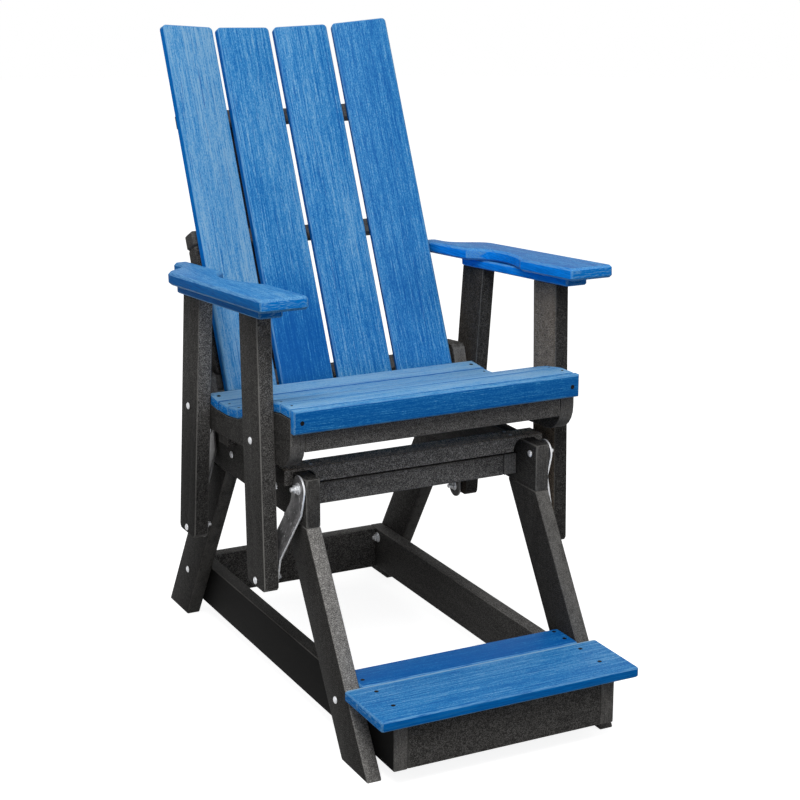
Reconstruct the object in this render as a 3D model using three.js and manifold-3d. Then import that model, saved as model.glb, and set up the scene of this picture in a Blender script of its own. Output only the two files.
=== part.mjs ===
// Glider chair: a raked stand with a footrest, four swinging steel links and a slatted seat with arms.
// Lengths are in millimetres, angles in degrees. Z is up and the front of the chair faces -Y.
// Left and right are as seen from the front. The origin is on the ground under the middle of the chair.

import * as THREE from 'three';
import { mergeVertices } from 'three/addons/utils/BufferGeometryUtils.js';
import Module from 'manifold-3d';

// Stock sizes
const boardThickness = 31.75;
const slatThickness = 20;
const footBoardThickness = 21;
const armThickness = 26.3;
const strapThickness = 4.5;
const washerThickness = 2;
const boardEase = 2;
const slatEase = 3;
const armEase = 5;
const fitGap = 0.3;
const slatGap = 1.5;

// Stand: two raked side frames
const standInnerWidth = 497.2;
const standHeight = 532.4;
const topRailLength = 542.3;
const topRailHeight = 100;
const legWidth = 115.5;
const frontLegSpread = 271.9;
const rearLegSpread = 276.8;

// Stand: low rails and footrest
const baseRailLift = 38.5;
const baseRailHeight = 100.4;
const baseRailFrontReach = 48.1;
const baseRailRearInset = 89.9;
const footrestWidth = 574.8;
const footrestOverhang = 28.3;
const footrestRearDepth = 82.7;
const footrestCorner = 7;

// Stand: tie rail, cleats and stop boards under the seat
const tieRailHeight = 46;
const tieRailDrop = 35.4;
const tieRailInset = 79;
const cleatLength = 101;
const stopBlockWidth = 19.3;
const stopBoardDepth = 52;
const stopBoardLip = 5.4;
const stopNotchStart = 210;
const frontStopInset = 61;
const rearStopInset = 125.3;

// Links and pivots
const linkLength = 213;
const linkWidth = 53;
const frontLinkAngle = 17.4;
const rearLinkAngle = 7.52;
const frontPivotInset = 24;
const rearPivotInset = 34.4;
const topPivotDrop = 22.4;
const linkBendStart = 48;
const linkBendEnd = 62;
const boltDiameter = 9.5;
const boltHeadDiameter = 17;
const boltHeadHeight = 4.6;
const nutWidth = 14.3;
const nutHeight = 8;
const washerDiameter = 25.4;
const threadEnd = 5;
const pivotClearance = 0.5;
const openPivotClearance = 5.3;

// Seat frame
const postGapOutsideLink = 36.3;
const frontPostWidth = 91;
const rearPostWidth = 92;
const frontPostAngle = 1.75;
const rearPostAngle = -6.98;
const postTail = 14;
const postFootRadius = 12;
const seatLength = 645.6;
const seatCrest = 689.5;
const seatDish = 79;
const seatDepth = 437;
const seatFrontReach = 23;
const fasciaHeight = 47.9;
const seatRailRearHeight = 47.2;
const seatRailSlope = 2.97;
const seatRailLowSlat = 6;
const seatRailNose = 57;
const seatRailTail = 129;
const railEarHeight = 35;
const railEarInset = 18;
const railEarRadius = 18;
const frontCrossRailHeight = 71;

// Back
const backLean = 24.4;
const backForward = 60;
const backDatumRise = 39.5;
const backCurveRadius = 950;
const backSlatCount = 4;
const backSlatWidth = 129.5;
const backSlatGap = 12;
const backSlatTop = 775.3;
const backSlatBottom = -57;
const backSlatCorner = 9;
const braceHeight = 35;
const braceDepth = 21;
const braceEndSetback = 13;
const lowerBraceBottom = -45;
const middleBraceBottom = 277;
const topBraceBottom = 553.5;
const topBraceWidth = 514;
const middleBraceWidth = 566;
const braceCorner = 6;
const braceEase = 4;
const stringerDepth = 40;
const stringerInset = 10;
const uprightInner = 98;

// Arms
const armSpread = 784;
const armFrontHeight = 915.5;
const armFrontReach = 50.4;
const armTilt = 4.1;
const armLength = 656;
const armCorner = 8;
const armTailWidth = 35;
const armTailLength = 50;
const armShoulderLength = 117;
const scallopStart = 209;
const scallopLength = 234;
const scallopStep = 6;
const scallopDepth = 66;
const scallopPlaceShare = 0.7;
const armBraceThickness = 20;
const armBraceWidth = 52;
const armBraceOutset = 22;
const armBraceFront = 62;
const armBraceLength = 454;

// Seat line from front to rear: shares of the seat depth and of the dish below the crest
const seatLineShares = [
  [0, 1],
  [0.109, 0.994],
  [0.238, 0.88],
  [0.366, 0.69],
  [0.497, 0.411],
  [0.627, 0.133],
  [0.746, 0.034],
  [0.865, 0.019],
  [1, 0.082],
];

const arcSteps = 6;
const roundSteps = 24;
const hexSides = 6;
const rad = Math.PI / 180;

// Half section of a round bolt head: shares of its radius and height
const boltHeadShares = [
  [0, 1],
  [0.55, 0.85],
  [0.88, 0.45],
  [1, 0],
];

// Finishes
const finishes = {
  blue: new THREE.Color(0.03, 0.2, 0.52),
  black: new THREE.Color(0.035, 0.034, 0.033),
  steel: new THREE.Color(0.62, 0.64, 0.66),
};

const wasm = await Module();
wasm.setup();

const group = new THREE.Group();
group.name = 'glider_chair';

// Places across the chair, measured from the middle plane
const frameInner = standInnerWidth / 2;
const frameOuter = frameInner + boardThickness;
const railOuter = frameInner - fitGap;
const railInner = railOuter - boardThickness;
const strapTopInner = frameOuter + washerThickness;
const postInner = strapTopInner + strapThickness + postGapOutsideLink;
const postOuter = postInner + boardThickness;
const strapFootInner = postInner - washerThickness - fitGap - strapThickness;
const seatRailOuter = postInner - fitGap;
const seatRailInner = seatRailOuter - boardThickness;
const stringerOuter = seatRailInner - stringerInset;
const stringerInner = stringerOuter - boardThickness;

// Places along the chair, measured from the front end of the top rails
const frontFootFront = -frontLegSpread;
const rearFootRear = topRailLength + rearLegSpread;
const baseRailFront = frontFootFront - baseRailFrontReach;
const baseRailRear = rearFootRear - baseRailRearInset;
const footrestFront = baseRailFront - footrestOverhang;
const middleOfChair = (footrestFront + rearFootRear) / 2;
const legTop = standHeight - topRailHeight - fitGap;
const baseRailTop = baseRailLift + baseRailHeight;
const seatFront = -seatFrontReach;

// Pivots, in the (y, z) plane
const pivotTopHeight = standHeight - topPivotDrop;
const frontTopPivot = new THREE.Vector2(frontPivotInset, pivotTopHeight);
const rearTopPivot = new THREE.Vector2(topRailLength - rearPivotInset, pivotTopHeight);
const frontFootPivot = linkFoot(frontTopPivot, frontLinkAngle);
const rearFootPivot = linkFoot(rearTopPivot, -rearLinkAngle);

function linkFoot(top, lean) {
  const y = top.x + linkLength * Math.sin(lean * rad);
  const z = top.y - linkLength * Math.cos(lean * rad);
  return new THREE.Vector2(y, z);
}

// Outlines: a polygon whose corners may be rounded, given as [u, v, radius]
function outline(corners) {
  const shape = new THREE.Shape();
  const count = corners.length;
  corners.forEach(([u, v, radius = 0], i) => {
    const corner = new THREE.Vector2(u, v);
    if (radius === 0) {
      addPoint(shape, corner, i === 0);
      return;
    }
    const before = new THREE.Vector2(...corners[(i + count - 1) % count]).sub(corner).normalize();
    const after = new THREE.Vector2(...corners[(i + 1) % count]).sub(corner).normalize();
    const half = Math.acos(THREE.MathUtils.clamp(before.dot(after), -1, 1)) / 2;
    const reach = radius / Math.tan(half);
    const centre = before.clone().add(after).normalize().multiplyScalar(radius / Math.sin(half)).add(corner);
    const start = before.multiplyScalar(reach).add(corner).sub(centre);
    const end = after.multiplyScalar(reach).add(corner).sub(centre);
    const sweep = Math.atan2(start.cross(end), start.dot(end));
    for (let step = 0; step <= arcSteps; step += 1) {
      const point = start.clone().rotateAround(new THREE.Vector2(), sweep * step / arcSteps).add(centre);
      addPoint(shape, point, i === 0 && step === 0);
    }
  });
  shape.closePath();
  return shape;
}

function addPoint(shape, point, first) {
  if (first) shape.moveTo(point.x, point.y);
  else shape.lineTo(point.x, point.y);
}

function rectangle(u0, v0, u1, v1, radius = 0) {
  return outline([[u0, v0, radius], [u1, v0, radius], [u1, v1, radius], [u0, v1, radius]]);
}

function bore(shape, u, v, diameter) {
  const hole = new THREE.Path();
  hole.absarc(u, v, diameter / 2, 0, 2 * Math.PI, true);
  shape.holes.push(hole);
}

// Solids: an outline given a thickness, with eased edges
function slab(shape, thickness, ease) {
  const eased = ease > 0;
  const geometry = new THREE.ExtrudeGeometry(shape, {
    depth: thickness - 2 * ease,
    bevelEnabled: eased,
    bevelThickness: ease,
    bevelSize: ease,
    bevelOffset: -ease,
    bevelSegments: 1,
    curveSegments: roundSteps / 2,
  });
  return geometry.translate(0, 0, ease);
}

// Outline in (y, z), thickness along x
function sideSlab(shape, x0, x1, ease = boardEase) {
  const turn = new THREE.Matrix4().makeBasis(
    new THREE.Vector3(0, 1, 0),
    new THREE.Vector3(0, 0, 1),
    new THREE.Vector3(1, 0, 0),
  );
  return slab(shape, x1 - x0, ease).applyMatrix4(turn).translate(x0, 0, 0);
}

// Outline in (x, z), thickness along y
function frontSlab(shape, y0, y1, ease = boardEase) {
  const turn = new THREE.Matrix4().makeBasis(
    new THREE.Vector3(1, 0, 0),
    new THREE.Vector3(0, 0, 1),
    new THREE.Vector3(0, -1, 0),
  );
  return slab(shape, y1 - y0, ease).applyMatrix4(turn).translate(0, y1, 0);
}

// Outline in (x, y), thickness along z
function planSlab(shape, z0, z1, ease = boardEase) {
  return slab(shape, z1 - z0, ease).translate(0, 0, z0);
}

function mirrored(geometry) {
  const flipped = (geometry.index ? geometry.toNonIndexed() : geometry.clone()).scale(-1, 1, 1);
  const position = flipped.getAttribute('position');
  const a = new THREE.Vector3();
  const b = new THREE.Vector3();
  for (let i = 0; i < position.count; i += 3) {
    a.fromBufferAttribute(position, i);
    b.fromBufferAttribute(position, i + 1);
    position.setXYZ(i, b.x, b.y, b.z);
    position.setXYZ(i + 1, a.x, a.y, a.z);
  }
  return flipped;
}

// Booleans
function solidOf(geometry) {
  const bare = new THREE.BufferGeometry();
  bare.setAttribute('position', geometry.getAttribute('position'));
  if (geometry.index) bare.setIndex(geometry.index);
  const merged = mergeVertices(bare, fitGap / 100);
  return new wasm.Manifold(new wasm.Mesh({
    numProp: 3,
    vertProperties: new Float32Array(merged.getAttribute('position').array),
    triVerts: new Uint32Array(merged.index.array),
  }));
}

function geometryOf(solid) {
  const mesh = solid.getMesh();
  const geometry = new THREE.BufferGeometry();
  geometry.setAttribute('position', new THREE.BufferAttribute(new Float32Array(mesh.vertProperties), mesh.numProp));
  geometry.setIndex(new THREE.BufferAttribute(new Uint32Array(mesh.triVerts), 1));
  return geometry;
}

// Named pieces
function piece(name, geometry, finish) {
  const flat = geometry.index ? geometry.toNonIndexed() : geometry;
  flat.deleteAttribute('uv');
  flat.computeVertexNormals();
  const metal = finish === 'steel';
  const material = new THREE.MeshStandardMaterial({
    name: `${finish}_${metal ? 'metal' : 'board'}`,
    color: finishes[finish],
    metalness: metal ? 0.9 : 0,
    roughness: metal ? 0.35 : 0.7,
  });
  const mesh = new THREE.Mesh(flat, material);
  mesh.name = name;
  mesh.position.set(0, -middleOfChair, 0);
  group.add(mesh);
}

function pair(name, geometry, finish) {
  piece(`left_${name}`, mirrored(geometry), finish);
  piece(`right_${name}`, geometry, finish);
}

// Stand
function topRail() {
  const shape = rectangle(0, standHeight - topRailHeight, topRailLength, standHeight);
  for (const pivot of [frontTopPivot, rearTopPivot]) {
    bore(shape, pivot.x, pivot.y, boltDiameter + pivotClearance);
  }
  return sideSlab(shape, frameInner, frameOuter);
}

function leg(footFront, topFront) {
  const shape = outline([
    [footFront, 0],
    [footFront + legWidth, 0],
    [topFront + legWidth, legTop],
    [topFront, legTop],
  ]);
  return sideSlab(shape, frameInner, frameOuter);
}

function legFrontAt(height) {
  return frontFootFront * (1 - height / legTop);
}

function baseRail() {
  return sideSlab(rectangle(baseRailFront, baseRailLift, baseRailRear, baseRailTop), railInner, railOuter);
}

function crossRail(y0) {
  const reach = railInner - fitGap;
  return frontSlab(rectangle(-reach, baseRailLift, reach, baseRailTop), y0, y0 + boardThickness);
}

function footrestBoard(halfWidth, y0, y1) {
  const bottom = baseRailTop + fitGap;
  const shape = rectangle(-halfWidth, y0, halfWidth, y1, footrestCorner);
  return planSlab(shape, bottom, bottom + footBoardThickness, slatEase);
}

function tieRail() {
  const reach = railInner - fitGap;
  const top = standHeight - tieRailDrop;
  const shape = rectangle(-reach, top - tieRailHeight, reach, top);
  return frontSlab(shape, tieRailInset, tieRailInset + boardThickness);
}

function cleat() {
  const top = standHeight - tieRailDrop;
  const shape = rectangle(tieRailInset, top - tieRailHeight, tieRailInset + cleatLength, top);
  return sideSlab(shape, railInner, railOuter);
}

// Board across the stand that the seat stops against: a thin lip crosses each side frame
function stopBoard(y0) {
  const lipBottom = standHeight + fitGap;
  const top = lipBottom + stopBoardLip;
  const bottom = top - boardThickness;
  const blockStart = frameOuter + fitGap;
  const end = blockStart + stopBlockWidth;
  const rise = lipBottom - bottom;
  const half = [
    [stopNotchStart, bottom],
    [stopNotchStart, lipBottom, rise - boardEase],
    [blockStart, lipBottom],
    [blockStart, bottom],
    [end, bottom],
    [end, top],
  ];
  const otherHalf = half.map(([x, z, radius = 0]) => [-x, z, radius]).reverse();
  return frontSlab(outline([...half, ...otherHalf]), y0, y0 + stopBoardDepth, boardEase / 2);
}

function buildStand() {
  pair('top_rail', topRail(), 'black');
  pair('front_leg', leg(frontFootFront, 0), 'black');
  pair('rear_leg', leg(rearFootRear - legWidth, topRailLength - legWidth), 'black');
  pair('base_rail', baseRail(), 'black');
  piece('rear_cross_rail', crossRail(baseRailRear - boardThickness), 'black');
  piece('footrest_cross_rail', crossRail(baseRailFront), 'black');
  const split = legFrontAt(baseRailTop + fitGap) - fitGap;
  piece('footrest_front_board', footrestBoard(footrestWidth / 2, footrestFront, split), 'blue');
  const rearStart = split + slatGap;
  const rearBoard = footrestBoard(railOuter, rearStart, rearStart + footrestRearDepth);
  piece('footrest_rear_board', rearBoard, 'blue');
  piece('front_tie_rail', tieRail(), 'black');
  pair('front_cleat', cleat(), 'black');
  piece('front_stop_board', stopBoard(frontStopInset), 'black');
  piece('rear_stop_board', stopBoard(topRailLength - rearStopInset - stopBoardDepth), 'black');
}

// Steel links: a strap bent outwards between its round ends, bored for both pivots
function link(top, lean, footBore) {
  const end = linkWidth / 2;
  const jog = strapFootInner - strapTopInner;
  const bendEnd = linkLength - linkBendEnd;
  const slope = Math.atan2(jog, bendEnd - linkBendStart);
  const mitre = strapThickness * Math.tan(slope / 2);
  const side = outline([
    [-end, 0],
    [linkBendStart, 0],
    [bendEnd, jog],
    [linkLength + end, jog],
    [linkLength + end, jog + strapThickness],
    [bendEnd - mitre, jog + strapThickness],
    [linkBendStart - mitre, strapThickness],
    [-end, strapThickness],
  ]);
  const face = new THREE.Shape();
  face.absarc(linkLength, 0, end, -Math.PI / 2, Math.PI / 2, false);
  face.absarc(0, 0, end, Math.PI / 2, 3 * Math.PI / 2, false);
  bore(face, 0, 0, boltDiameter + pivotClearance);
  bore(face, linkLength, 0, boltDiameter + footBore);
  const strip = slab(side, linkWidth, 0).translate(0, 0, -end);
  strip.applyMatrix4(new THREE.Matrix4().makeBasis(
    new THREE.Vector3(1, 0, 0),
    new THREE.Vector3(0, 0, 1),
    new THREE.Vector3(0, -1, 0),
  ));
  const punch = slab(face, jog + 2 * strapThickness, 0).translate(0, 0, -strapThickness / 2);
  const strap = geometryOf(solidOf(strip).intersect(solidOf(punch)));
  const along = new THREE.Vector3(0, Math.sin(lean * rad), -Math.cos(lean * rad));
  const outwards = new THREE.Vector3(1, 0, 0);
  const place = new THREE.Matrix4().makeBasis(along, outwards.clone().cross(along), outwards);
  place.setPosition(strapTopInner, top.x, top.y);
  return strap.applyMatrix4(place);
}

// Pivot bolt along x: round head, shank, washer and nut in one piece
function pivotBolt(pivot, headFace, direction, washerFace, strapFace) {
  const nutStart = strapFace + fitGap;
  const length = nutStart + nutHeight + threadEnd;
  const shank = boltDiameter / 2;
  const head = boltHeadDiameter / 2;
  const washer = washerDiameter / 2;
  const dome = boltHeadShares.map(([out, high]) => [head * out, -fitGap - (boltHeadHeight - fitGap) * high]);
  const profile = [
    ...dome,
    [shank, -fitGap],
    [shank, washerFace + fitGap],
    [washer, washerFace + fitGap],
    [washer, washerFace + washerThickness - fitGap],
    [shank, washerFace + washerThickness - fitGap],
    [shank, length - fitGap],
    [shank - fitGap, length],
    [0, length],
  ].map(([radius, along]) => new THREE.Vector2(radius, along));
  const turned = new THREE.LatheGeometry(profile, roundSteps);
  turned.rotateX(Math.PI / 2);
  const hex = new THREE.Shape();
  for (let i = 0; i < hexSides; i += 1) {
    const angle = 2 * Math.PI * i / hexSides;
    const radius = nutWidth / Math.sqrt(3);
    addPoint(hex, new THREE.Vector2(radius * Math.cos(angle), radius * Math.sin(angle)), i === 0);
  }
  hex.closePath();
  const nut = slab(hex, nutHeight, fitGap).translate(0, 0, nutStart);
  const bolt = geometryOf(solidOf(turned).add(solidOf(nut)));
  const axis = new THREE.Vector3(direction, 0, 0);
  const up = new THREE.Vector3(0, 0, 1);
  bolt.applyMatrix4(new THREE.Matrix4().makeBasis(up, axis.clone().cross(up), axis));
  return bolt.translate(headFace, pivot.x, pivot.y);
}

function buildLinks() {
  const reach = strapTopInner + strapThickness - frameInner;
  const footReach = postOuter - strapFootInner;
  const pivots = [
    ['front', frontTopPivot, frontLinkAngle, frontFootPivot, pivotClearance],
    ['rear', rearTopPivot, -rearLinkAngle, rearFootPivot, openPivotClearance],
  ];
  for (const [place, top, lean, foot, footBore] of pivots) {
    pair(`${place}_link`, link(top, lean, footBore), 'steel');
    pair(`${place}_top_pivot_bolt`, pivotBolt(top, frameInner, 1, boardThickness, reach), 'steel');
    pair(`${place}_foot_pivot_bolt`, pivotBolt(foot, postOuter, -1, boardThickness, footReach), 'steel');
  }
}

// Arms: points on the tilted arm plane, given as distance back and depth below the top face
function armPlane() {
  const tilt = new THREE.Matrix4().makeRotationX(-armTilt * rad);
  return tilt.setPosition(0, -armFrontReach, armFrontHeight);
}

function heightUnderArm(y, depth) {
  const slope = Math.tan(armTilt * rad);
  return armFrontHeight - (y + armFrontReach) * slope - depth / Math.cos(armTilt * rad);
}

function arm() {
  const outer = armSpread / 2;
  const inner = seatRailInner;
  const tail = inner + armTailWidth;
  const shape = new THREE.Shape();
  shape.moveTo(inner + armCorner, 0);
  shape.lineTo(outer - armCorner, 0);
  shape.quadraticCurveTo(outer, 0, outer, armCorner);
  const tailStart = armLength - armTailLength;
  const middle = tailStart - armShoulderLength / 2;
  shape.lineTo(outer, tailStart - armShoulderLength);
  shape.bezierCurveTo(outer, middle, tail, middle, tail, tailStart);
  shape.lineTo(tail, armLength - 2 * armCorner);
  shape.quadraticCurveTo(tail, armLength, tail - 2 * armCorner, armLength);
  shape.lineTo(inner + armCorner, armLength);
  shape.quadraticCurveTo(inner, armLength, inner, armLength - armCorner);
  shape.lineTo(inner, scallopStart + scallopLength);
  const pull = scallopStart + scallopLength * scallopPlaceShare;
  shape.quadraticCurveTo(inner + scallopDepth, pull, inner + scallopStep, scallopStart);
  shape.lineTo(inner, scallopStart - scallopStep);
  shape.lineTo(inner, armCorner);
  shape.quadraticCurveTo(inner, 0, inner + armCorner, 0);
  return planSlab(shape, -armThickness, 0, armEase).applyMatrix4(armPlane());
}

function armBrace() {
  const outer = armSpread / 2 - armBraceOutset;
  const top = -armThickness - fitGap;
  const rear = armBraceFront + armBraceLength;
  const shape = rectangle(outer - armBraceWidth, armBraceFront, outer, rear, armCorner);
  return planSlab(shape, top - armBraceThickness, top, slatEase).applyMatrix4(armPlane());
}

// Posts hang from the arms and carry the foot pivots
function post(pivot, width, lean) {
  const foot = pivot.y - postTail;
  const depth = armThickness + armBraceThickness + 2 * fitGap;
  const slope = Math.tan(lean * rad);
  const armSlope = Math.tan(armTilt * rad);
  const atTop = (side) => {
    const start = pivot.x + side * width / 2;
    const base = heightUnderArm(start, depth) - pivot.y;
    const rise = base / (1 + slope * armSlope);
    return [start + slope * rise, pivot.y + rise];
  };
  const shape = outline([
    [pivot.x - width / 2 - slope * postTail, foot, postFootRadius],
    [pivot.x + width / 2 - slope * postTail, foot, postFootRadius],
    atTop(1),
    atTop(-1),
  ]);
  bore(shape, pivot.x, pivot.y, boltDiameter + pivotClearance);
  return sideSlab(shape, postInner, postOuter);
}

// Seat line: top corners of the slats, with the direction square to the line at each corner
function seatLine() {
  const points = seatLineShares.map(([along, rise]) => new THREE.Vector2(
    seatFront + along * seatDepth,
    seatCrest - seatDish * (1 - rise),
  ));
  return points.map((point, i) => {
    const before = points[Math.max(i - 1, 0)];
    const after = points[Math.min(i + 1, points.length - 1)];
    const ahead = after.clone().sub(point).normalize();
    const behind = point.clone().sub(before).normalize();
    const run = ahead.add(behind).normalize();
    const chord = (i === 0 ? after : point).clone().sub(i === 0 ? point : before).normalize();
    const down = new THREE.Vector2(run.y, -run.x);
    return { point, run, down: down.multiplyScalar(1 / run.dot(chord)) };
  });
}

function seatCorner(corner, depth, shift = 0) {
  const place = corner.point.clone().addScaledVector(corner.down, depth).addScaledVector(corner.run, shift);
  return [place.x, place.y];
}

function seatSlat(start, end) {
  const half = slatGap / 2;
  const shape = outline([
    seatCorner(start, slatThickness, half),
    seatCorner(end, slatThickness, -half),
    seatCorner(end, 0, -half),
    seatCorner(start, 0, half),
  ]);
  return sideSlab(shape, -seatLength / 2, seatLength / 2, slatEase);
}

// Rear seat board: its rear edge is cut parallel to the back slats, a slat gap in front of them
function rearSeatBoard(start, end) {
  const run = end.point.clone().sub(start.point);
  const reach = seatLength / 2;
  const tilt = new THREE.Matrix4().makeRotationX(run.angle());
  tilt.setPosition(0, start.point.x, start.point.y);
  const blank = planSlab(rectangle(-reach, slatGap / 2, reach, run.length()), -slatThickness, 0, boardEase / 2);
  const line = backSlats().flatMap(({ front }) => front).map(({ x, y }) => [x, y - slatGap]);
  const cut = outline([
    [-reach, line[0][1]],
    ...line,
    [reach, line[0][1]],
    [reach, seatDepth],
    [-reach, seatDepth],
  ]);
  const back = planSlab(cut, backSlatBottom, middleBraceBottom, 0).applyMatrix4(backPlace());
  return geometryOf(solidOf(blank.applyMatrix4(tilt)).subtract(solidOf(back)));
}

// Seat rails follow the underside of the slats and rise behind them in an ear beside the back
function seatRail(corners) {
  const last = corners[corners.length - 1];
  const under = corners.map((corner) => seatCorner(corner, slatThickness + fitGap));
  const front = seatFront - slatGap / 2;
  under[0] = [front, under[0][1]];
  const rear = seatFront + seatDepth + seatRailTail;
  const earFront = last.point.x + railEarInset;
  const earTop = last.point.y + railEarHeight;
  const [lowY, lowZ] = under[seatRailLowSlat];
  const railBottom = (y) => lowZ - seatRailRearHeight + (lowY - y) * Math.tan(seatRailSlope * rad);
  const shape = outline([
    ...under,
    [earFront, under[under.length - 1][1]],
    [earFront + railEarInset, earTop, railEarRadius],
    [rear, earTop - railEarRadius / 2, railEarRadius],
    [rear - railEarInset, railBottom(rear), railEarRadius],
    [front, railBottom(front), seatRailNose],
  ].reverse());
  return sideSlab(shape, seatRailInner, seatRailOuter, boardEase / 2);
}

function buildSeat() {
  const corners = seatLine();
  const last = corners.length - 1;
  for (let i = 0; i < last - 1; i += 1) {
    piece(`seat_slat_${i + 1}`, seatSlat(corners[i], corners[i + 1]), 'blue');
  }
  piece('seat_rear_board', rearSeatBoard(corners[last - 1], corners[last]), 'blue');
  pair('seat_rail', seatRail(corners), 'black');
  const fasciaBack = seatFront - slatGap / 2 - fitGap;
  const fasciaShape = rectangle(-seatLength / 2, seatCrest - fasciaHeight, seatLength / 2, seatCrest);
  piece('seat_fascia', frontSlab(fasciaShape, fasciaBack - slatThickness, fasciaBack, slatEase), 'blue');
  const reach = seatRailInner - fitGap;
  const top = seatCrest - slatThickness - 2 * fitGap;
  const crossShape = rectangle(-reach, top - frontCrossRailHeight, reach, top);
  const crossFront = seatFront - slatGap / 2;
  piece('front_seat_rail', frontSlab(crossShape, crossFront, crossFront + boardThickness), 'black');
  pair('front_post', post(frontFootPivot, frontPostWidth, frontPostAngle), 'black');
  pair('rear_post', post(rearFootPivot, rearPostWidth, rearPostAngle), 'black');
  pair('arm', arm(), 'blue');
  pair('arm_brace', armBrace(), 'blue');
}

// Back: built upright, x across, y rearwards and z up the back, then leaned
function backAxis() {
  return new THREE.Vector2(Math.sin(backLean * rad), Math.cos(backLean * rad));
}

function backDatum() {
  return new THREE.Vector3(0, seatFront + seatDepth + backForward, seatCrest - backDatumRise);
}

function backPlace() {
  const lean = new THREE.Matrix4().makeRotationX(-backLean * rad);
  return lean.setPosition(backDatum());
}

function ontoBack(x, y, z) {
  return new THREE.Vector3(x, y, z).applyMatrix4(backPlace());
}

// Each back slat is flat and stands on an arc whose centre is in front of the sitter:
// its middle, its turn about the back's own axis, and the ends of its front and rear faces in plan
function backSlats() {
  const pitch = (backSlatWidth + backSlatGap) / backCurveRadius;
  return Array.from({ length: backSlatCount }, (_, i) => {
    const angle = (i - (backSlatCount - 1) / 2) * pitch;
    const middle = new THREE.Vector2(Math.sin(angle), Math.cos(angle) - 1).multiplyScalar(backCurveRadius);
    const across = new THREE.Vector2(Math.cos(angle), -Math.sin(angle)).multiplyScalar(backSlatWidth / 2);
    const rearwards = new THREE.Vector2(Math.sin(angle), Math.cos(angle));
    const front = [middle.clone().sub(across), middle.clone().add(across)];
    const rear = front.map((corner) => corner.clone().addScaledVector(rearwards, slatThickness));
    return { middle, angle, front, rear, rearwards };
  });
}

function backSlat({ middle, angle }) {
  const half = backSlatWidth / 2;
  const shape = outline([
    [-half, backSlatBottom],
    [half, backSlatBottom],
    [half, backSlatTop, backSlatCorner],
    [-half, backSlatTop, backSlatCorner],
  ]);
  const slat = frontSlab(shape, 0, slatThickness, slatEase);
  return slat.rotateZ(-angle).translate(middle.x, middle.y, 0).applyMatrix4(backPlace());
}

// Braces run behind the slats: the front edge follows them up to its flat ends, the rear edge is straight
function braceEndFront() {
  return backSlats().at(-1).rear[1].y + braceEndSetback;
}

function backBrace(bottom, halfWidth) {
  const slats = backSlats();
  const front = braceEndFront();
  const rear = slatThickness + fitGap + braceDepth;
  const line = slats.flatMap(({ rear: edge, rearwards }) => edge.map(
    (point) => point.clone().addScaledVector(rearwards, fitGap),
  ));
  const [before, end] = line.slice(-2);
  const reach = end.x - braceEndSetback * (end.x - before.x) / (before.y - end.y);
  const inside = line.filter((point) => Math.abs(point.x) < reach).map(({ x, y }) => [x, y]);
  const shape = outline([
    [-halfWidth, front],
    [-reach, front],
    ...inside,
    [reach, front],
    [halfWidth, front],
    [halfWidth, rear, braceCorner],
    [-halfWidth, rear, braceCorner],
  ]);
  return planSlab(shape, bottom, bottom + braceHeight, braceEase).applyMatrix4(backPlace());
}

function stringer() {
  const front = braceEndFront();
  const shape = rectangle(stringerInner, front, stringerOuter, front + stringerDepth);
  const bottom = lowerBraceBottom + braceHeight + fitGap;
  return planSlab(shape, bottom, middleBraceBottom - fitGap).applyMatrix4(backPlace());
}

function upright() {
  const front = slatThickness + braceDepth + 2 * fitGap;
  const shape = rectangle(uprightInner, front, uprightInner + boardThickness, front + boardThickness);
  return planSlab(shape, lowerBraceBottom, topBraceBottom + braceHeight).applyMatrix4(backPlace());
}

function buildBack() {
  backSlats().forEach((slat, i) => {
    piece(`back_slat_${i + 1}`, backSlat(slat), 'blue');
  });
  piece('top_brace', backBrace(topBraceBottom, topBraceWidth / 2), 'black');
  piece('middle_brace', backBrace(middleBraceBottom, middleBraceWidth / 2), 'black');
  piece('lower_brace', backBrace(lowerBraceBottom, seatRailInner - fitGap), 'black');
  pair('stringer', stringer(), 'black');
  pair('back_upright', upright(), 'black');
}

buildStand();
buildLinks();
buildSeat();
buildBack();

export default group;
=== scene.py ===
"""Glider chair with footrest: board finishes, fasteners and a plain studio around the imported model.

The chair stands on the ground plane, faces -Y and is built in metres. Left and right are as seen
from the front.
"""

from __future__ import annotations

import logging
import math
from collections.abc import Callable, Iterable
from dataclasses import dataclass, field, replace
from enum import Enum

import bmesh
import bpy
from mathutils import Matrix, Vector

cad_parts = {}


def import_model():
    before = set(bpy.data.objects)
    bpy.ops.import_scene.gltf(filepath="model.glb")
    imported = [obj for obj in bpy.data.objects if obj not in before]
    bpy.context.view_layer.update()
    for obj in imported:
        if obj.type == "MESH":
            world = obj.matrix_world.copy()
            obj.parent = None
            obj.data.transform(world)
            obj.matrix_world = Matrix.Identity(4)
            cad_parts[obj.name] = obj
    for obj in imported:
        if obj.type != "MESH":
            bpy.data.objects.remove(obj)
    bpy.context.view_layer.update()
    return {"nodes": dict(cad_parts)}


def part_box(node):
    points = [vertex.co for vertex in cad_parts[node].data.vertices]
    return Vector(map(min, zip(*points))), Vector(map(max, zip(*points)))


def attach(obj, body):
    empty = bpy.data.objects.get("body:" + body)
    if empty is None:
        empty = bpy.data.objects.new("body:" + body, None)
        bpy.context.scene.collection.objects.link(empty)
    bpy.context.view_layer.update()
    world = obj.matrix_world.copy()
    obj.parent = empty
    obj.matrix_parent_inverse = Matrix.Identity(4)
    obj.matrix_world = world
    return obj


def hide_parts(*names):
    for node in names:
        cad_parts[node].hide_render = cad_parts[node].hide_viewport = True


LOG = logging.getLogger("glider_chair")

Socket = bpy.types.NodeSocket
Solid = bmesh.types.BMesh
Colour = tuple[float, float, float]
Span = tuple[float, float]

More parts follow.
